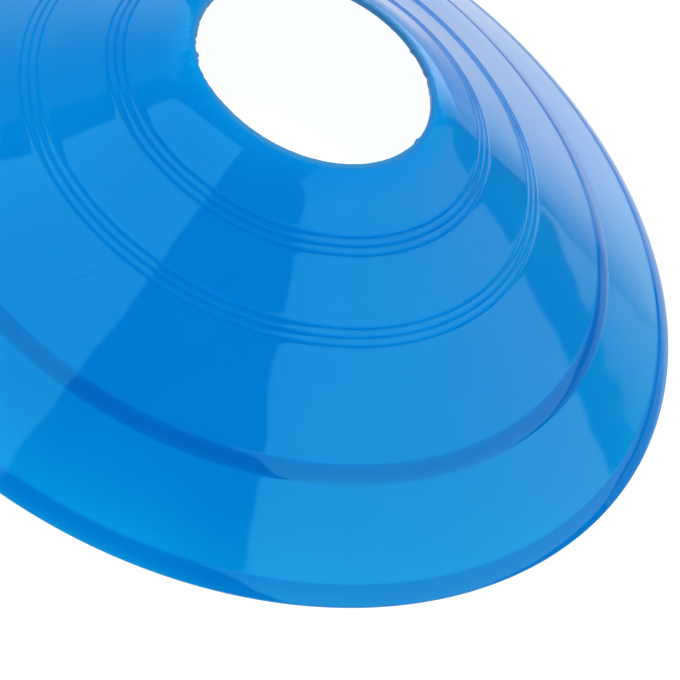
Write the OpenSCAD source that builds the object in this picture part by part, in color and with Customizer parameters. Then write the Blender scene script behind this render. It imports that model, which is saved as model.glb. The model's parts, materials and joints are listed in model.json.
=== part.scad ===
// Low disc-shaped marker cone: one thin moulded shell with an open crown.
// The whole shell is one profile turned about the Z axis. It stands on its
// rim with the middle of its base at the origin.

/* [Overall size] */
// Diameter of the rim on the ground
base_d = 200; // [170:1:300]
// Height of the upper edge of the crown hole above the ground
height = 49; // [35:0.5:80]
// Diameter of the hole in the crown
hole_d = 51; // [30:0.5:70]
// Thickness of the wall, square to its slope
wall = 1.5; // [1:0.1:3]

/* [Crown] */
// Radial width of the rounded crown around the hole
crown_w = 7; // [5:0.5:20]
// Rise of the crown as a share of the rise of a straight wall
crown_rise_share = 0.73; // [0.65:0.005:0.98]

/* [Step ring] */
// Radial distance from the rim in to the outer crease of the step ring
step_inset = 20; // [8:0.5:30]
// Radial width of the step ring
step_w = 3.5; // [2:0.1:6]

/* [Rim] */
// Radial width of the flared rim
rim_w = 3.6; // [2:0.1:6]
// Height of the upright edge at the outside of the rim
edge_h = 0.5; // [0.3:0.1:1]
// How far the faces of the step ring and of the rim stand out of the wall
bulge = 0.11; // [0.05:0.01:0.4]

/* [Relief rings] */
// Radial distance from the hole out to the middle ring of the upper group
upper_ring_inset = 14.8; // [10:0.1:18]
// Radial distance from the hole out to the middle ring of the lower group
lower_ring_inset = 30; // [25:0.5:45]
// Radial distance from one ring to the next in a group
ring_pitch = 1.5; // [1:0.1:2.5]
// Number of rings in a group
ring_count = 3; // [1:1:5]
// Radius of the round bead that makes a ring
ring_r = 0.35; // [0.3:0.05:0.6]
// How far a ring stands out of the wall
ring_proud = 0.19; // [0.05:0.01:0.25]

/* [Hidden] */
// Facets of the shell and of a ring's bead in the preview
$fn = 180;
bead_fn = 24;
// Steps in the crown's arc, and across a raised band
crown_steps = 8;
band_steps = 8;
// Power that makes a raised band flat on top, with round shoulders
band_power = 5;

base_r = base_d / 2;
hole_r = hole_d / 2;
// Radius where the crown meets the straight wall
crown_r = hole_r + crown_w;
// Radii of the outer and the inner crease of the step ring, and of the rim's crease
step_outer_r = base_r - step_inset;
step_inner_r = step_outer_r - step_w;
rim_r = base_r - rim_w;

// The wall's slope as rise over run, chosen so that the crown ends at the full height
wall_slope = (height - edge_h) / (base_r - crown_r + crown_rise_share * crown_w);
wall_angle = atan(wall_slope);

// Height of the outside of the straight wall at radius r
function straight_z(r) = edge_h + (base_r - r) * wall_slope;

// The crown is an arc that leaves the wall at its own slope and flattens towards the hole
crown_chord_angle = atan(crown_rise_share * wall_slope);
hole_angle = 2 * crown_chord_angle - wall_angle;
crown_arc_r = crown_w / (sin(wall_angle) - sin(hole_angle));
crown_centre = [
    crown_r - crown_arc_r * sin(wall_angle),
    straight_z(crown_r) - crown_arc_r * cos(wall_angle)
];

// Inside of the shell: one straight wall below a crown that follows the outer one
inner_arc_r = crown_arc_r - wall;
inner_base_r = base_r + (edge_h - wall / cos(wall_angle)) / wall_slope;

// Point of an arc around the crown's centre, where the surface slopes down at the given angle
function crown_point(arc_r, angle) = crown_centre + arc_r * [sin(angle), cos(angle)];
// Height of such an arc at radius r, and the angle of its slope there
function crown_z(arc_r, r) =
    crown_centre.y + sqrt(pow(arc_r, 2) - pow(r - crown_centre.x, 2));
function crown_angle(arc_r, r) = asin((r - crown_centre.x) / arc_r);

// Arc around the crown's centre, from the hole out to the straight wall
function crown_arc(arc_r) = [
    for (i = [0 : crown_steps])
        let (start = crown_angle(arc_r, hole_r))
        crown_point(arc_r, start + (wall_angle - start) * i / crown_steps)
];

// Raised band from point a to point b: flat on top, with round shoulders.
// Its points crowd at the shoulders, where the band bends most.
function raised_band(a, b, rise) =
    let (
        along = (b - a) / norm(b - a),
        up = [-along.y, along.x]
    )
    [
        for (i = [0 : band_steps])
            let (across = -cos(180 * i / band_steps))
            (a + b) / 2
                + (b - a) / 2 * across
                + up * rise * (1 - pow(abs(across), band_power))
    ];

// Outside of the shell, from the hole out to the ground
outside = concat(
    crown_arc(crown_arc_r),
    raised_band([step_inner_r, straight_z(step_inner_r)], [step_outer_r, straight_z(step_outer_r)], bulge),
    raised_band([rim_r, straight_z(rim_r)], [base_r, edge_h], bulge),
    [[base_r, 0]]
);
// Inside of the shell, from the ground in to the hole
inner_arc = crown_arc(inner_arc_r);
inside = [[inner_base_r, 0], for (i = [crown_steps : -1 : 0]) inner_arc[i]];

// Height of the outside at a radius inside the step ring, and the angle of its slope there
function wall_z(r) = r < crown_r ? crown_z(crown_arc_r, r) : straight_z(r);
function wall_angle_at(r) = r < crown_r ? crown_angle(crown_arc_r, r) : wall_angle;

// One fine raised ring: a round bead sunk into the wall, so that only its top stands out
module relief_ring(r) {
    sunk = ring_r - ring_proud;
    angle = wall_angle_at(r);
    rotate_extrude()
        translate([r - sunk * sin(angle), wall_z(r) - sunk * cos(angle)])
            circle(r = ring_r, $fn = bead_fn);
}

// A group of rings, evenly spaced about its middle one
module ring_group(middle_r) {
    for (i = [0 : ring_count - 1])
        relief_ring(middle_r + (i - (ring_count - 1) / 2) * ring_pitch);
}

// The whole moulding
module marker_shell() {
    color("#1b87dc")
        union() {
            rotate_extrude()
                polygon(concat(outside, inside));
            ring_group(hole_r + upper_ring_inset);
            ring_group(hole_r + lower_ring_inset);
        }
}

marker_shell();
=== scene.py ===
import json
from math import atan, cos, radians, sin

import bpy
import numpy as np
from bpy.props import FloatProperty, FloatVectorProperty, IntProperty, PointerProperty
from mathutils import Matrix, Vector


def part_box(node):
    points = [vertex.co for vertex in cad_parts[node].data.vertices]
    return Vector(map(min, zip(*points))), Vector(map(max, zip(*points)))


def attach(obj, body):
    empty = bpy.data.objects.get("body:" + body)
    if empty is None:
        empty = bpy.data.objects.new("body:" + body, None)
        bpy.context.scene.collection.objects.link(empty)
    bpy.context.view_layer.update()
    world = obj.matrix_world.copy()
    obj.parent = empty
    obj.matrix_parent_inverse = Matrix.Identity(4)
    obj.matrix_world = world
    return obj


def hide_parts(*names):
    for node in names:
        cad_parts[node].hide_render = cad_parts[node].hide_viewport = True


bl_info = {
    "name": "Marker cone",
    "version": (1, 0, 0),
    "blender": (4, 5, 0),
    "location": "View3D > Sidebar > Marker cone",
    "description": "Builds a low marker cone of moulded blue polyethylene, with its stage",
    "category": "Add Mesh",
}

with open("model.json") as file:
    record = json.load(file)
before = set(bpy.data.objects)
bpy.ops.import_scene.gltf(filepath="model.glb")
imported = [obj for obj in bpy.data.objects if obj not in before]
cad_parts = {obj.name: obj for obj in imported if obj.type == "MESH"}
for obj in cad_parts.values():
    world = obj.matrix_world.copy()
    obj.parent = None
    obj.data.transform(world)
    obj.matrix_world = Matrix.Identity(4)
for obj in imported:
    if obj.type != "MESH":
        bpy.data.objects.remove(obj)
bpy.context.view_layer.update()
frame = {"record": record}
SHELL_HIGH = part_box("marker_shell")[1]
MOUNTS = {m["name"]: m for m in frame["record"]["mounts"]}
MM = 0.001
HOLE_RADIUS = MOUNTS["crown_hole"]["dims"]["r_mm"] * MM

# Nicks and burrs of the hole's edge: angle and half width in degrees, depth as a share of the trim
NICKS = ((51, 1.3, -0.6), (34, 1.5, 0.5), (349, 1.2, -0.5), (201, 1.6, 0.5), (210, 1.4, -0.6))
# Waves round the hole's edge, left by the cutter's chatter
CHATTER = (23, 37, 61, 90)
# Ends of the scratch and of the speck: radius in mm, and angle in degrees, clockwise from +X
SCRATCH = ((65.1, 110.6), (61.5, 109.1))
SPECK = ((59.5, 108.5), (59.4, 108.5))
SCRATCH_WIDTH = 0.22 * MM
SPECK_WIDTH = 0.4 * MM
# Radius of the round table top in metres, and the number of its sides
TABLE_RADIUS = 1.5
TABLE_SIDES = 96
# Width of the camera's sensor, and the focal length that makes 4000 pixels of a picture 680 wide
SENSOR_MM = 36
LENS_MM = 4000 / 680 * SENSOR_MM


# Sizes and colours

def linear(code):
    """Colour of a hex code such as #1b87dc, from display values to linear light: each channel c
    becomes c/12.92 below 0.04045, and ((c + 0.055)/1.055) to the power 2.4 above it."""
    c = np.array([int(code[i:i + 2], 16) / 255 for i in (1, 3, 5)])
    return tuple(np.where(c <= 0.04045, c / 12.92, ((c + 0.055) / 1.055) ** 2.4)) + (1.0,)


def length(name, default, description):
    """A size in metres, as a property that the user can change."""
    return FloatProperty(name=name, description=description, default=default, min=0.0,
                         subtype="DISTANCE", unit="LENGTH", precision=5)


def turn(name, degrees, description):
    """An angle, given in degrees, as a property that the user can change."""
    return FloatProperty(name=name, description=description, default=radians(degrees),
                         subtype="ANGLE")


def brightness(name, default, description):
    """How bright a light is, as a property that the user can change."""
    return FloatProperty(name=name, description=description, default=default, min=0.0)


def colour(name, code, description):
    """A colour given as a display hex code, kept as linear light."""
    return FloatVectorProperty(name=name, description=description, default=linear(code),
                               size=4, min=0, max=1, subtype="COLOR")


class ShellSizes(bpy.types.PropertyGroup):
    """Sizes of the moulded shell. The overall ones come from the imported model."""
    base_radius: length("Base radius", SHELL_HIGH.x, "Radius of the rim on the ground")
    height: length("Height", SHELL_HIGH.z, "Height of the hole's upper edge above the ground")
    hole_radius: length("Hole radius", HOLE_RADIUS, "Radius of the hole in the crown")
    wall: length("Wall", 1.5 * MM, "Thickness of the wall, square to its slope")
    crown_width: length("Crown width", 7 * MM, "Radial width of the rounded crown")
    crown_rise: FloatProperty(
        name="Crown rise", description="Rise of the crown as a share of a straight wall's",
        default=0.73, min=0.65, max=0.98, subtype="FACTOR")
    step_inset: length("Step inset", 20 * MM,
                       "Radial distance from the rim in to the step ring's outer crease")
    step_width: length("Step width", 3.5 * MM, "Radial width of the step ring")
    rim_width: length("Rim width", 3.6 * MM, "Radial width of the flared rim")
    edge_height: length("Edge height", 0.5 * MM,
                        "Height of the upright edge at the outside of the rim")
    bulge: length("Bulge", 0.11 * MM,
                  "How far the faces of the step ring and of the rim stand out of the wall")
    upper_rings: length("Upper rings", 14.8 * MM,
                        "Radial distance from the hole to the upper group's middle")
    lower_rings: length("Lower rings", 30 * MM,
                        "Radial distance from the hole to the lower group's middle")
    ring_pitch: length("Ring pitch", 1.5 * MM, "Radial distance from one relief ring to the next")
    ring_height: length("Ring height", 0.19 * MM, "How far a relief ring stands out of the wall")
    ring_half_width: length("Ring half width", 0.3 * MM,
                            "Half the width of a relief ring at the wall")
    trim: length("Trim", 0.6 * MM, "How much wider the hole is where its edge is trimmed unevenly")
    lift: length("Lift", 3.7 * MM,
                 "How far the lower wall has warped off the ground on the far side")
    kink: length("Kink", 0.7 * MM,
                 "How far the rim has bent up from the step ring at the far right")
    crease_blur: length("Crease blur", 0.13 * MM,
                        "How far the mould's polish has rounded each crease")
    turns: IntProperty(name="Turns", description="Steps of the grid round the axis",
                       default=492, min=90, max=494)


class ShellFinish(bpy.types.PropertyGroup):
    """Colours of the shell and how rough its moulded skin is."""
    # Painted shade: the darkest blue stands where shade is painted, most of all in the step ring
    shaded_blue: colour("Deep blue", "#0071d4", "Colour where the wall is thickest, in the step ring")
    middle: colour("Middle blue", "#0088e7", "Colour of the plain wall")
    # Painted light: the lightest blue stands where light through the wall is painted, next to the
    # rim
    clear: colour("Clear blue", "#06a6f6", "Colour where the wall is thinnest, next to the rim")
    roughness: FloatProperty(
        name="Roughness", description="Roughness of the moulded skin", default=0.055,
        min=0.0, max=1.0, subtype="FACTOR")
    mirror: colour("Mirror tint", "#6cffff",
                   "Tint of what the skin mirrors where it is seen head on")
    cut: colour("Cut edge", "#4391cb", "Colour of the rough edge where the hole was cut")


class StageSettings(bpy.types.PropertyGroup):
    """Floor, lights and camera."""
    floor: colour("Floor", "#5b5c5d", "Colour of the frosted table where no light comes through it")
    table_light: brightness("Table light", 0.97, "Light that comes through the table")
    right_panel: brightness("Right panel", 2.5, "Radiance of the long soft box on the right")
    low_card: brightness("Low card", 0.65, "Radiance of the low card on the right, at its far end")
    back_panel: brightness("Back panel", 2.4,
                           "Radiance of the panels behind the shell, where they are brightest")
    left_panel: brightness("Left panel", 1.5, "Radiance of the soft box on the left")
    left_card: brightness("Left card", 1.05,
                          "Radiance of the card at the back left, at its far end")
    top_light: brightness("Top light", 4.8, "Radiance of the soft light overhead")
    room_light: brightness("Room light", 0.1, "Even light from all round")
    room_mirror: brightness("Room in the mirror", 0.06,
                            "How bright the room looks in the shell's skin")
    elevation: turn("Elevation", 44.09, "Camera's angle above the ground")
    distance: length("Distance", 0.8517, "Camera's distance from the middle of the base")
    pan: turn("Pan", -1.480, "Camera's turn to the side")
    tilt: turn("Tilt", 1.712, "Camera's turn up or down")
    roll: turn("Roll", 27.57, "Camera's turn about its own axis")
    lens: FloatProperty(
        name="Focal length", description="Focal length in millimetres on a 36 mm sensor",
        default=LENS_MM, min=1.0)


# The shell's shape

def crown_arc(s):
    """Slope of the wall, its angle, and the crown's arc: centre and radius. The arc leaves the wall
    at its slope and ends at the hole at the full height."""
    crown_r = s.hole_radius + s.crown_width
    slope = (s.height - s.edge_height) / (s.base_radius - crown_r + s.crown_rise * s.crown_width)
    angle = atan(slope)
    hole_angle = 2 * atan(s.crown_rise * slope) - angle
    arc_r = s.crown_width / (sin(angle) - sin(hole_angle))
    crown_z = s.edge_height + (s.base_radius - crown_r) * slope
    return slope, angle, (crown_r - arc_r * sin(angle), crown_z - arc_r * cos(angle)), arc_r


def outside_height(r, s):
    """Height of the outside at radius r, before its creases are rounded. The wall is one straight
    line from the upright edge to the crown, and the crown is an arc that leaves the wall at its
    slope and flattens inwards. The step ring and the rim each stand out of the line by 1 less the
    fifth power of the place across them, so they are flat on top with round shoulders. A relief
    ring adds half a cosine wave."""
    slope, angle, centre, arc_r = crown_arc(s)
    z = s.edge_height + (s.base_radius - r) * slope
    arc = centre[1] + np.sqrt(np.maximum(arc_r ** 2 - (r - centre[0]) ** 2, 0))
    z = np.where(r < s.hole_radius + s.crown_width, arc, z)
    bands = ((s.base_radius - s.step_inset, s.step_width), (s.base_radius, s.rim_width))
    for outer, width in bands:
        across = np.clip(2 * (r - outer) / width + 1, -1, 1)
        z = z + s.bulge / cos(angle) * (1 - abs(across) ** 5)
    for ring_r in ring_radii(s):
        x = (r - ring_r) / s.ring_half_width
        z = z + np.where(abs(x) < 1, s.ring_height * (1 + np.cos(np.pi * x)) / 2, 0)
    return z


def ring_radii(s):
    """Radii of the fine relief rings: three in the upper group and three in the lower."""
    groups = (s.hole_radius + s.upper_rings, s.hole_radius + s.lower_rings)
    return [middle + k * s.ring_pitch for middle in groups for k in (-1, 0, 1)]


def rounded_outside(s):
    """Radii and heights of the outside on a fine even grid, with each crease rounded: the heights
    are averaged over a bell curve as wide as the mould's rounding. Next to the two edges they stay
    as they are, since the edges have arcs of their own."""
    step, reach = 0.02 * MM, 30
    margin, edge_zone = 1 * MM, 0.7 * MM
    r = np.arange(s.hole_radius - margin, s.base_radius + margin, step)
    weights = np.exp(-0.5 * (np.arange(-reach, reach + 1) * step / s.crease_blur) ** 2)
    z = outside_height(r, s)
    soft = np.convolve(np.pad(z, reach, mode="edge"), weights / weights.sum(), mode="valid")
    inside = (r > s.hole_radius + edge_zone) & (r < s.base_radius - edge_zone)
    return r, np.where(inside, soft, z)


def corner(centre, radius, start, end, steps):
    """Arc of a rounded edge: points at the given radius round the centre, from one angle to
    another. An angle is measured from straight up, positive outwards."""
    along = np.linspace(start, end, steps)
    return np.stack([centre[0] + radius * np.sin(along), centre[1] + radius * np.cos(along)], 1)


def outside_radii(start, stop, s):
    """Radii of the outline's points on the outside: even ones, and more round each relief ring and
    each crease. A point that lies closer than 0.05 mm to the one before it is left out."""
    near_ring = np.array([-1.5, -1.05, -0.75, -0.5, -0.25, 0, 0.25, 0.5, 0.75, 1.05, 1.5])
    near_crease = np.array([-3.4, -2.2, -1.4, -0.8, -0.35, 0, 0.35, 0.8, 1.4, 2.2, 3.4])
    step_outer = s.base_radius - s.step_inset
    creases = (step_outer - s.step_width, step_outer, s.base_radius - s.rim_width)
    r = [np.linspace(start, stop, 70)]
    r += [middle + near_ring * s.ring_half_width for middle in ring_radii(s)]
    r += [crease + near_crease * s.crease_blur for crease in creases]
    r = np.unique(np.round(np.concatenate(r), 7))
    r = r[(r >= start) & (r <= stop)]
    keep = [r[0]]
    for x in r[1:]:
        if x - keep[-1] > 0.05 * MM:
            keep.append(x)
    return np.array(keep)


def shell_profile(s):
    """Closed outline of the wall, from the hole's upper edge over the outside to the ground and
    back inside, with a small bevel where the foot meets the inside."""
    fine_r, fine_z = rounded_outside(s)
    fine_slope = np.gradient(fine_z, fine_r)
    # Radii of the rounded edges: the hole's upper and lower one, the rim's and the foot's
    top_round, bore_round, rim_round, foot_round = 0.35 * MM, 0.2 * MM, 0.22 * MM, 0.15 * MM
    # How far the bevel reaches along the ground, and how far up the inside
    bevel_out, bevel_in = 0.4 * MM, 0.3 * MM

    def lean(r):
        """Angle at which the outside falls away at a radius."""
        return -atan(float(np.interp(r, fine_r, fine_slope)))

    def height(r):
        """Height of the outside at a radius."""
        return float(np.interp(r, fine_r, fine_z))

    hole_lean = lean(s.hole_radius + top_round)
    start = s.hole_radius + top_round * (1 + sin(hole_lean))
    hole_c = (s.hole_radius + top_round, height(start) - top_round * cos(hole_lean))
    rim_lean = lean(s.base_radius - 0.8 * MM)
    stop = s.base_radius - rim_round * (1 - sin(rim_lean))
    rim_c = (s.base_radius - rim_round, height(stop) - rim_round * cos(rim_lean))
    r = outside_radii(start, stop, s)
    outside = np.stack([r, np.interp(r, fine_r, fine_z)], 1)

    slope, angle, centre, arc_r = crown_arc(s)
    foot_r = s.base_radius + (s.edge_height - s.wall / cos(angle)) / slope
    inner_r = arc_r - s.wall
    first = np.arcsin((s.hole_radius + bore_round - centre[0]) / inner_r)
    inner_crown = corner(centre, inner_r, angle, first, 12)
    inner_wall = np.linspace(foot_r - bevel_in, inner_crown[0, 0] + 2 * MM, 14)
    bore_c = (s.hole_radius + bore_round, inner_crown[-1, 1] + bore_round * cos(first))
    return np.concatenate([
        corner(hole_c, top_round, -0.5 * np.pi, hole_lean, 8)[:-1],
        outside,
        corner(rim_c, rim_round, rim_lean, 0.5 * np.pi, 6)[1:],
        corner((s.base_radius - foot_round, foot_round), foot_round, 0.5 * np.pi, np.pi, 4),
        [[foot_r + bevel_out, 0]],
        np.stack([inner_wall, (foot_r - inner_wall) * slope], 1),
        inner_crown,
        corner(bore_c, bore_round, np.pi + first, 1.5 * np.pi, 4),
    ])


def bell(t, middle, width):
    """Bell curve of the angle t in degrees about a middle angle: 1 there, and 0.37 one width
    away."""
    away = (t - middle + 180) % 360 - 180
    return np.exp(-(away / width) ** 2)


def hole_trim(t, s):
    """How far outside its circle the hole's edge was cut, at the angle t in radians: a wide bell
    where the cut ran outwards, a sine wave for each frequency of the cutter's chatter, and a narrow
    bell for each nick and burr."""
    angle = np.degrees(t)
    waves = sum(np.sin(k * t + 1.7 * k) for k in CHATTER)
    trim = s.trim * bell(angle, 219, 17) + 0.13 * s.trim * waves * (0.15 + bell(angle, 198, 26))
    for middle, width, depth in NICKS:
        trim = trim + depth * s.trim * bell(angle, middle, width)
    return trim


def warp(r, angle, s):
    """How far the soft wall has warped off the ground. The lift is a smooth step, 3x squared less
    2x cubed, from the crown to just past the step ring's inner crease. The kink is a quarter sine
    wave from that crease out to the rim's. Each lies under a bell of the angle in degrees."""
    step_r = s.base_radius - s.step_inset - s.step_width
    still_r = s.hole_radius + 8.5 * MM
    out = np.clip((r - still_r) / (step_r + 4 * MM - still_r), 0, 1)
    past = np.clip((r - step_r - 0.7 * MM) / (s.base_radius - s.rim_width - step_r), 0, 1)
    lift = s.lift * bell(angle, 90, 28) * (3 - 2 * out) * out ** 2
    return lift + s.kink * bell(angle, 52, 22) * np.sin(0.5 * np.pi * past)


def shell_points(s):
    """The shell as a surface of two parameters: u runs along the closed outline and t round the
    axis, and a point is (r(u) cos t, r(u) sin t, z(u)). The hole's trim is added to r, fading by a
    bell curve of 1.6 mm, and the warp is added to z."""
    outline = shell_profile(s)
    t = np.linspace(0, 2 * np.pi, s.turns, endpoint=False)[:, None]
    r, z = outline[:, 0][None, :], outline[:, 1][None, :]
    z = z + warp(r, np.degrees(t), s)
    r = r + hole_trim(t, s) * np.exp(-((r - s.hole_radius) / (1.6 * MM)) ** 2)
    return np.stack([r * np.cos(t), r * np.sin(t), z], -1)


def on_wall(place, s):
    """Point on the outside of the wall. The place is a radius in mm and an angle in degrees,
    clockwise from +X."""
    r, angle = place[0] * MM, radians(place[1])
    return r * cos(angle), -r * sin(angle), float(outside_height(np.array(r), s))


def painted_light_and_shade(r, angle, s):
    """Painted light and shade at radius r, from 0, darkest, to 1, lightest, with 0.5 for the plain
    wall; it sets where the blue lies between the darkest and the lightest. Painted light makes it
    lighter at both sides, by the angle's cosine to the fourth power and two bells of the angle in
    degrees, and painted shade makes it darker on the far side, by a third. Painted light from the
    lit table through the wall makes it lighter by a square from the step ring out to the rim and by
    a power of 2.5 over the rim's face, most of all at the front, and painted light on the crown
    makes it lighter by a falling exponential next to the hole. It is a little darker under the
    upper relief rings and at the hole's cut edge. In the step ring painted shade makes it fall by a
    fourth power to 0, or to a third of the plain wall on the far side."""
    step_r = s.base_radius - s.step_inset - s.step_width / 2
    rim_r = s.base_radius - s.rim_width
    # Painted light through the wall is strongest at the front, the side towards the camera
    front = 0.4 + 0.6 * bell(angle, 272, 18)
    # Painted light at both sides and at two narrow places, painted shade on the far side
    around = 0.11 * np.cos(np.radians(angle)) ** 4 - 0.18 * bell(angle, 75, 45)
    around = around + 0.14 * bell(angle, 10, 20) + 0.12 * bell(angle, 215, 12)
    out = np.clip((r - step_r) / (rim_r - step_r), 0, 1)
    # Plain level, painted light and shade round the axis, and painted light through the wall from
    # the step ring out to the rim
    lightness = 0.5 + around + np.where(r > step_r, 0.06 + 0.44 * front * out ** 2, 0)
    # Painted light on the crown, next to the hole
    on_crown = 1 / (1 + np.exp((r - s.hole_radius - 12.5 * MM) / (0.5 * MM)))
    crown = 0.4 * (1 - 0.5 * bell(angle, 335, 45) - 0.6 * bell(angle, 65, 40))
    lightness += on_crown * crown * np.exp((s.hole_radius - r) / (2.2 * MM))
    # A little darker under the upper relief rings
    lightness -= 0.085 * np.exp(-((r - s.hole_radius - s.upper_rings) / (2.2 * MM)) ** 4)
    # Painted light through the rim's face, most of all at the front
    face = np.clip((r - rim_r) / s.rim_width, 0, 1)
    on_rim = 1 / (1 + np.exp((rim_r - r) / (0.15 * MM)))
    lightness += on_rim * (0.22 + 0.5 * around + front * (0.2 + 0.5 * face ** 2.5) - lightness)
    # Darker next to the hole's cut edge
    lightness *= 0.5 + 0.5 * np.clip((r - s.hole_radius - 0.2 * MM) / (0.8 * MM), 0, 1)
    # Painted shade in the step ring, weaker on the far side
    step_shade = 1 - np.clip(abs(r - step_r) / (1.08 * s.step_width / 2), 0, 1) ** 4
    return np.clip(lightness * (1 - step_shade * (1 - 0.35 * bell(angle, 40, 35))), 0, 1)


def dullness(r, angle, s):
    """How much less the skin mirrors, from 0 to 1. It is 1 along the top of each relief ring, and
    falls to 0 at its sides by half a cosine wave. The far side is scuffed from stacking. There it
    is also high between the rings of a group, by a flat-topped bell, from 1.3 mm inside the crease
    of the step ring and of the rim, falling outwards by a square, and along the step ring's outer
    crease, by a bell. The wall above the upper rings is dull there too, by a flat-topped bell both
    ways."""
    gap = np.min([abs(r - ring_r) for ring_r in ring_radii(s)], axis=0)
    dull = 0.5 + 0.5 * np.cos(np.pi * np.clip(gap / (1.6 * s.ring_half_width), 0, 1))
    scuffed = np.clip(2 * bell(angle, 70, 41), 0, 1)
    for group in (s.hole_radius + s.upper_rings, s.hole_radius + s.lower_rings):
        dull = np.maximum(dull, 0.94 * scuffed * np.exp(-((r - group) / (2.4 * MM)) ** 6))
    step_outer = s.base_radius - s.step_inset
    for crease in (step_outer - s.step_width, s.base_radius - s.rim_width):
        inside = np.clip((r - crease) / (1.3 * MM) + 1, 0, 1)
        outside = np.clip((r - crease) / (2.8 * MM), 0, 1)
        dull = np.maximum(dull, 0.96 * scuffed * inside * (1 - outside ** 2))
    dull = np.maximum(dull, 0.95 * scuffed * np.exp(-((r - step_outer) / (0.6 * MM)) ** 2))
    above = np.exp(-((r - s.hole_radius - 9 * MM) / (5.5 * MM)) ** 6)
    return np.maximum(dull, np.clip(1.15 * bell(angle, 44, 22), 0, 0.88) * above)


def cut_edge(r, angle, s):
    """How rough and pale the surface is from the cut. It is 1 on the cut face of the hole and on
    its upper edge, and falls to 0 outwards from 0.4 to 1 mm. The cutter left a cleaner edge at the
    right, under a bell of the angle."""
    near = np.clip((s.hole_radius + 1 * MM - r) / (0.6 * MM), 0, 1)
    return (1 - 0.6 * bell(angle, 10, 25)) * near


def closed_grid(name, points):
    """Mesh of a grid that closes on itself both ways, as a ring's skin does. Rows run round the
    axis and columns along the outline. Each face joins a point with the next one along and then the
    next one round, so that its normal points out of the wall."""
    rows, cols = points.shape[:2]
    index = np.arange(rows * cols).reshape(rows, cols)
    along, around = np.roll(index, -1, 1), np.roll(index, -1, 0)
    corners = np.stack([index, along, np.roll(around, -1, 1), around], -1).reshape(-1, 4)
    mesh = bpy.data.meshes.new(name)
    mesh.vertices.add(rows * cols)
    mesh.vertices.foreach_set("co", points.astype(np.float32).ravel())
    mesh.loops.add(corners.size)
    mesh.loops.foreach_set("vertex_index", corners.astype(np.int32).ravel())
    mesh.polygons.add(len(corners))
    mesh.polygons.foreach_set("loop_start", np.arange(0, corners.size, 4, dtype=np.int32))
    mesh.polygons.foreach_set("use_smooth", np.ones(len(corners), bool))
    mesh.update()
    mesh.validate()
    return mesh


# Materials

def add_node(tree, kind, links=None, **settings):
    """Adds one node. A setting names an input socket or one of the node's own properties, and links
    gives the socket that each input takes its value from."""
    node = tree.nodes.new(kind)
    for key, value in settings.items():
        if hasattr(node, key):
            setattr(node, key, value)
        else:
            node.inputs[key.replace("_", " ")].default_value = value
    for key, source in (links or {}).items():
        tree.links.new(source, node.inputs[key])
    return node


def new_material(name):
    """An empty node material and its node tree."""
    mat = bpy.data.materials.new(name)
    mat.use_nodes = True
    mat.node_tree.nodes.clear()
    return mat, mat.node_tree


def near_line(tree, place, start, end, width):
    """Mask of a fine line on the shell: 1 on the segment between two points, 0 one width away from
    it. The nearest point of the segment is start plus the clamped share of the way that the place
    projects onto."""
    start, end = Vector(start), Vector(end)
    way = end - start
    rel = add_node(tree, "ShaderNodeVectorMath", {0: place}, operation="SUBTRACT")
    rel.inputs[1].default_value = start
    along = add_node(tree, "ShaderNodeVectorMath", {0: rel.outputs["Vector"]},
                     operation="DOT_PRODUCT")
    along.inputs[1].default_value = way / max(way.length_squared, 1e-12)
    share = add_node(tree, "ShaderNodeClamp", {"Value": along.outputs["Value"]})
    foot = add_node(tree, "ShaderNodeVectorMath", {3: share.outputs["Result"]}, operation="SCALE")
    foot.inputs[0].default_value = way
    gap = add_node(tree, "ShaderNodeVectorMath",
                   {0: rel.outputs["Vector"], 1: foot.outputs["Vector"]}, operation="DISTANCE")
    mask = add_node(tree, "ShaderNodeMapRange", {"Value": gap.outputs["Value"]},
                    interpolation_type="SMOOTHSTEP", From_Min=0.0, From_Max=width,
                    To_Min=1.0, To_Max=0.0)
    return mask.outputs["Result"]


def attribute(tree, name):
    """Value of one of the shell's own layers at the place that is seen."""
    return add_node(tree, "ShaderNodeAttribute", attribute_name=name).outputs["Fac"]


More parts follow.
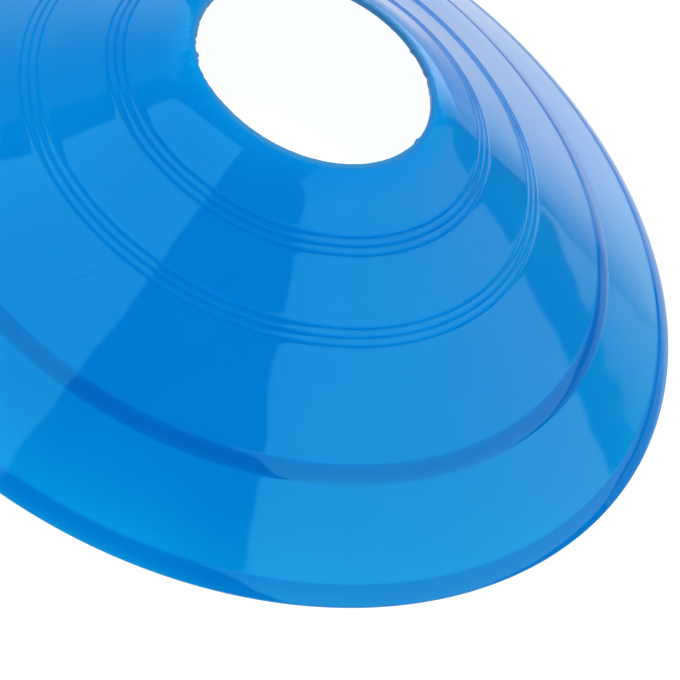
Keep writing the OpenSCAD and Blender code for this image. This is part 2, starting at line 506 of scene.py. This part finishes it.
def moulded_polyethylene(look, scratch, speck):
    """Blue low-density polyethylene, injection moulded against a polished steel mould. The polish
    gives long, even reflections with crisp edges. Its colour runs from a dark to a light blue by a
    layer of painted light and shade: painted light from the lit table through the wall makes it
    lighter towards the rim, and painted shade makes it darker in the step ring. Slow waves of 18 mm
    left by shrinkage bend the edges of the reflections. Faint clouds of 25 mm are pigment that
    didn't mix fully. The relief rings mirror less, since the mould isn't polished in such fine
    grooves, and so do the scuffed places of the far side, so both stay dark between bright
    reflections. The edge of the hole is rough and paler where it was cut. The scratch and the speck
    are wear from use, and look a shade darker."""
    mat, tree = new_material("moulded_blue_polyethylene")
    place = add_node(tree, "ShaderNodeTexCoord").outputs["Object"]

    clouds = add_node(tree, "ShaderNodeTexNoise", {"Vector": place},
                      Scale=1 / (25 * MM), Detail=2.0)
    cloudy = add_node(tree, "ShaderNodeMapRange", {"Value": clouds.outputs["Fac"]},
                      To_Min=-0.08, To_Max=0.08)
    # The layer of painted light and shade, with the pigment's clouds added
    level = add_node(tree, "ShaderNodeMath",
                     {0: attribute(tree, "painted_lightness"), 1: cloudy.outputs["Result"]}, operation="ADD")
    marks = add_node(tree, "ShaderNodeMath",
                     {0: near_line(tree, place, *scratch, SCRATCH_WIDTH),
                      1: near_line(tree, place, *speck, SPECK_WIDTH)}, operation="MAXIMUM")
    marked = add_node(tree, "ShaderNodeMath",
                      {0: marks.outputs["Value"], 2: level.outputs["Value"]},
                      operation="MULTIPLY_ADD")
    marked.inputs[1].default_value = -0.45
    # The ramp turns painted light and shade into the blue: darkest in painted shade, lightest in
    # painted light
    tint = add_node(tree, "ShaderNodeValToRGB", {"Fac": marked.outputs["Value"]})
    ramp = tint.color_ramp
    ramp.elements[0].color, ramp.elements[1].color = look.shaded_blue, look.clear
    ramp.elements.new(0.5).color = look.middle

    # Inputs 6 and 7 and output 2 are the mix node's colours
    cut = attribute(tree, "cut")
    skin = add_node(tree, "ShaderNodeMix", {0: cut, 6: tint.outputs["Color"]}, data_type="RGBA")
    skin.inputs[7].default_value = look.cut
    rough = add_node(tree, "ShaderNodeMapRange", {"Value": cut}, To_Min=look.roughness, To_Max=0.5)

    waves = add_node(tree, "ShaderNodeTexNoise", {"Vector": place}, Scale=1 / (18 * MM), Detail=1.0)
    bump = add_node(tree, "ShaderNodeBump", {"Height": waves.outputs["Fac"]},
                    Distance=0.15 * MM, Strength=1.0)
    polish = add_node(tree, "ShaderNodeMapRange", {"Value": attribute(tree, "dullness")},
                      To_Min=0.5, To_Max=0.0)
    shader = add_node(tree, "ShaderNodeBsdfPrincipled",
                      {"Base Color": skin.outputs[2], "Normal": bump.outputs["Normal"],
                       "Roughness": rough.outputs["Result"],
                       "Specular IOR Level": polish.outputs["Result"]}, IOR=1.51)
    shader.inputs["Specular Tint"].default_value = look.mirror
    add_node(tree, "ShaderNodeOutputMaterial", {"Surface": shader.outputs["BSDF"]})
    return mat


def light_table(stage):
    """Frosted glass over a light box, as used for pictures on plain white. The lamps sit under the
    middle, so the light falls off towards the edge of the table: it is divided by 1 up to 0.13 m
    from the middle, and by a number that grows evenly from there to 5 at 1.33 m. The frosting blurs
    what the glass mirrors of the soft boxes."""
    mat, tree = new_material("frosted_glass_light_table")
    place = add_node(tree, "ShaderNodeTexCoord").outputs["Object"]
    away = add_node(tree, "ShaderNodeVectorMath", {0: place}, operation="LENGTH")
    fall = add_node(tree, "ShaderNodeMapRange", {"Value": away.outputs["Value"]},
                    From_Min=0.13, From_Max=1.33, To_Min=1.0, To_Max=5.0)
    level = add_node(tree, "ShaderNodeMath", {1: fall.outputs["Result"]}, operation="DIVIDE")
    level.inputs[0].default_value = stage.table_light
    shader = add_node(tree, "ShaderNodeBsdfPrincipled",
                      {"Emission Strength": level.outputs["Value"]}, Roughness=0.3)
    shader.inputs["Base Color"].default_value = stage.floor
    shader.inputs["Emission Color"].default_value = (1, 1, 1, 1)
    add_node(tree, "ShaderNodeOutputMaterial", {"Surface": shader.outputs["BSDF"]})
    return mat


# Stage

def soft_box(name, corner, side, up, near, far, top=1.0, mirrored=True):
    """Flat soft light. One corner and the two edges that leave it are given in metres, and it
    shines to the side that up x side points to. Its radiance goes from near, at the corner, to far,
    at the end of side, and falls to the share top of that at the end of up. It is seen in mirrors
    alone, or else gives plain light alone."""
    corner, side, up = Vector(corner), Vector(side), Vector(up)
    light = bpy.data.lights.new(name, "AREA")
    light.shape = "RECTANGLE"
    light.size, light.size_y = side.length, up.length
    light.energy = np.pi * side.length * up.length
    light.use_nodes = True
    tree = light.node_tree
    tree.nodes.clear()
    place = add_node(tree, "ShaderNodeNewGeometry")
    across = add_node(tree, "ShaderNodeSeparateXYZ", {"Vector": place.outputs["Parametric"]})
    level = add_node(tree, "ShaderNodeMapRange", {"Value": across.outputs["X"]},
                     interpolation_type="SMOOTHSTEP", To_Min=near, To_Max=far)
    share = add_node(tree, "ShaderNodeMapRange", {"Value": across.outputs["Y"]},
                     interpolation_type="SMOOTHSTEP", To_Min=1.0, To_Max=top)
    both = add_node(tree, "ShaderNodeMath",
                    {0: level.outputs["Result"], 1: share.outputs["Result"]}, operation="MULTIPLY")
    glow = add_node(tree, "ShaderNodeEmission", {"Strength": both.outputs["Value"]})
    add_node(tree, "ShaderNodeOutputLight", {"Surface": glow.outputs["Emission"]})
    obj = bpy.data.objects.new(name, light)
    out = up.normalized().cross(side.normalized())
    obj.matrix_world = Matrix.Translation(corner + (side + up) / 2) @ Matrix(
        (side.normalized(), up.normalized(), -out)).transposed().to_4x4()
    obj.visible_camera = False
    obj.visible_glossy, obj.visible_diffuse = mirrored, not mirrored
    bpy.context.scene.collection.objects.link(obj)


def make_lights(stage):
    """Soft boxes whose reflections lie as strips on the shell: a long one on the right with a low
    card below its far end, two panels side by side at the back, brightest where they meet, one on
    the left, and a card at the back left. A soft light overhead gives the shading."""
    right, back = stage.right_panel, stage.back_panel
    soft_box("right_soft_box", (1, -0.87, 0.36), (0, 2.47, 0), (0, 0, 3.64),
             right, 0.12 * right, 0.35)
    soft_box("low_card", (1, 1.75, 0.02), (0, -1.2, 0.336), (0, -0.081, -0.288),
             stage.low_card, 0.4 * stage.low_card)
    soft_box("back_panel_right", (1.35, 2.5, -0.15), (-0.5, 0, 0), (0, 0, 1.05),
             0.2 * back, back, 0.7)
    soft_box("back_panel", (0.85, 2.5, -0.15), (-1.15, 0, 0), (0, 0, 1.05), back, 0.5 * back, 0.7)
    angle = radians(15)
    side, up = Vector((-cos(angle), sin(angle), 0)), Vector((-sin(angle), -cos(angle), 0))
    soft_box("left_soft_box", (-0.19, -0.19, 1.2), side * 2.8, up * 2.6,
             stage.left_panel, stage.left_panel)
    soft_box("left_card", (-1.1, 1.5, 0.08), (0, -1.2, 0), (0, 0, 1.2),
             stage.left_card, 0.3 * stage.left_card)
    soft_box("top_light", (-0.65, -0.6, 1.5), (1.2, 0, 0), (0, 1.2, 0),
             stage.top_light, stage.top_light, mirrored=False)


def make_room(stage):
    """An even room all round, dimmer in the shell's mirror than as plain light."""
    world = bpy.data.worlds.new("even_room")
    world.use_nodes = True
    tree = world.node_tree
    tree.nodes.clear()
    path = add_node(tree, "ShaderNodeLightPath")
    level = add_node(tree, "ShaderNodeMapRange", {"Value": path.outputs["Is Glossy Ray"]},
                     To_Min=stage.room_light, To_Max=stage.room_mirror)
    sky = add_node(tree, "ShaderNodeBackground", {"Strength": level.outputs["Result"]})
    sky.inputs["Color"].default_value = (1, 1, 1, 1)
    add_node(tree, "ShaderNodeOutputWorld", {"Surface": sky.outputs["Background"]})
    bpy.context.scene.world = world


def make_floor(stage):
    """Round table top at the height that the rim rests on."""
    t = np.linspace(0, 2 * np.pi, TABLE_SIDES, endpoint=False)
    ring = np.stack([TABLE_RADIUS * np.cos(t), TABLE_RADIUS * np.sin(t), np.zeros_like(t)], 1)
    mesh = bpy.data.meshes.new("light_table")
    mesh.from_pydata(ring.tolist(), [], [list(range(TABLE_SIDES))])
    mesh.materials.append(light_table(stage))
    obj = bpy.data.objects.new("light_table", mesh)
    bpy.context.scene.collection.objects.link(obj)


def make_camera(stage):
    """Camera on the -Y side, looking at the middle of the base, then rolled, panned and tilted."""
    e = stage.elevation
    forward = np.array([0, cos(e), -sin(e)])
    right = np.array([1.0, 0, 0])
    down = np.cross(forward, right)
    c, s = cos(stage.roll), sin(stage.roll)
    roll = np.array([[c, -s, 0], [s, c, 0], [0, 0, 1]])
    c, s = cos(stage.pan), sin(stage.pan)
    pan = np.array([[c, 0, s], [0, 1, 0], [-s, 0, c]])
    c, s = cos(stage.tilt), sin(stage.tilt)
    tilt = np.array([[1, 0, 0], [0, c, -s], [0, s, c]])
    rows = tilt @ pan @ roll @ np.array([right, down, forward])
    data = bpy.data.cameras.new("camera")
    data.sensor_width = SENSOR_MM
    data.lens = stage.lens
    data.clip_start, data.clip_end = 0.05, 20
    obj = bpy.data.objects.new("camera", data)
    facing = Matrix((rows[0], -rows[1], -rows[2])).transposed().to_4x4()
    obj.matrix_world = Matrix.Translation(Vector(-forward) * stage.distance) @ facing
    bpy.context.scene.collection.objects.link(obj)
    bpy.context.scene.camera = obj


# Operators and panel

class MARKER_OT_shell(bpy.types.Operator):
    """Make the moulded shell"""
    bl_idname = "marker.shell"
    bl_label = "Moulded shell"

    def execute(self, context):
        scene = context.scene
        sizes = scene.marker_shell
        points = shell_points(sizes)
        mesh = closed_grid("moulded_shell", points)
        radius = np.hypot(points[..., 0], points[..., 1])
        angle = np.linspace(0, 360, sizes.turns, endpoint=False)[:, None]
        # The first layer is painted light and shade, which sets the blue; the other two are the
        # skin's own dullness and cut edge
        for name, layer in (("painted_lightness", painted_light_and_shade), ("dullness", dullness), ("cut", cut_edge)):
            values = layer(radius, angle, sizes).astype(np.float32)
            mesh.attributes.new(name, "FLOAT", "POINT").data.foreach_set("value", values.ravel())
        scratch = [on_wall(place, sizes) for place in SCRATCH]
        speck = [on_wall(place, sizes) for place in SPECK]
        mesh.materials.append(moulded_polyethylene(scene.marker_finish, scratch, speck))
        obj = bpy.data.objects.new("moulded_shell", mesh)
        scene.collection.objects.link(obj)
        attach(obj, "root")
        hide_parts("marker_shell")
        return {"FINISHED"}


class MARKER_OT_stage(bpy.types.Operator):
    """Make the lit table, the lights and the camera"""
    bl_idname = "marker.stage"
    bl_label = "Stage"

    def execute(self, context):
        stage = context.scene.marker_stage
        make_camera(stage)
        make_floor(stage)
        make_lights(stage)
        make_room(stage)
        context.scene.view_settings.view_transform = "Standard"
        return {"FINISHED"}


class MARKER_PT_sidebar(bpy.types.Panel):
    """Sizes, colours and the buttons that make the pieces"""
    bl_idname = "MARKER_PT_sidebar"
    bl_label = "Marker cone"
    bl_space_type = "VIEW_3D"
    bl_region_type = "UI"
    bl_category = "Marker cone"

    def draw(self, context):
        scene = context.scene
        for title, group in (("Shell", scene.marker_shell), ("Finish", scene.marker_finish),
                             ("Stage", scene.marker_stage)):
            box = self.layout.box()
            box.label(text=title)
            for key in group.bl_rna.properties.keys():
                if key not in ("rna_type", "name"):
                    box.prop(group, key)
        for operator in (MARKER_OT_shell, MARKER_OT_stage):
            self.layout.operator(operator.bl_idname)


CLASSES = (ShellSizes, ShellFinish, StageSettings,
           MARKER_OT_shell, MARKER_OT_stage, MARKER_PT_sidebar)


def register():
    for cls in CLASSES:
        bpy.utils.register_class(cls)
    bpy.types.Scene.marker_shell = PointerProperty(type=ShellSizes)
    bpy.types.Scene.marker_finish = PointerProperty(type=ShellFinish)
    bpy.types.Scene.marker_stage = PointerProperty(type=StageSettings)


def unregister():
    del bpy.types.Scene.marker_stage
    del bpy.types.Scene.marker_finish
    del bpy.types.Scene.marker_shell
    for cls in reversed(CLASSES):
        bpy.utils.unregister_class(cls)


def main():
    """Makes the stage and the shell."""
    register()
    bpy.ops.marker.stage()
    bpy.ops.marker.shell()


if __name__ == "__main__":
    main()
